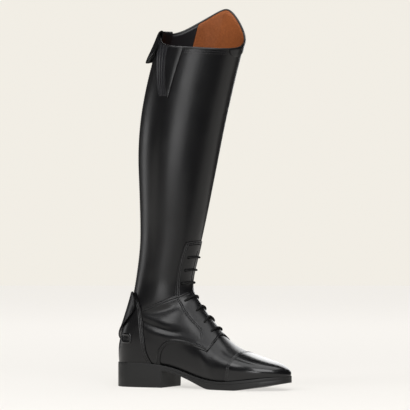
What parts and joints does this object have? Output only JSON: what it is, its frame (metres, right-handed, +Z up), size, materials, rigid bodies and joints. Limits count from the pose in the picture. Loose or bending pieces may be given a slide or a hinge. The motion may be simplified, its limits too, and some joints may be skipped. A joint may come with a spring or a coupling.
{
  "type": "field boot",
  "caption": "Tall black leather riding boot for the left foot, laced over the instep, with a back zip, a high outer top line and a moulded rubber sole with a block heel.",
  "frame": {"origin": "on the floor, under the middle of the heel", "axes": "+X towards the toe, +Y towards the outer side of the leg, +Z up the leg"},
  "size_m": [0.2715, 0.1128, 0.5367],
  "materials": {
    "upper_leather": "smooth polished black calf leather",
    "lining_leather": "soft tan lining leather",
    "sole_rubber": "moulded black rubber, satin",
    "lace": "round black waxed lace",
    "zip": "black zip tape and teeth"
  },
  "bodies": {
    "root": {"outsole": "sole_rubber", "insole": "lining_leather", "upper": "upper_leather", "shaft": "upper_leather", "tongue": "upper_leather", "lace_bar_1": "lace", "lace_bar_2": "lace", "lace_bar_3": "lace", "lace_bar_4": "lace", "lace_bar_5": "lace", "lace_bar_6": "lace", "lace_bar_7": "lace", "zip": "zip", "zip_guard": "upper_leather", "zip_keeper": "upper_leather", "spur_rest_inner": "upper_leather", "spur_rest_outer": "upper_leather"}
  },
  "joints": []
}
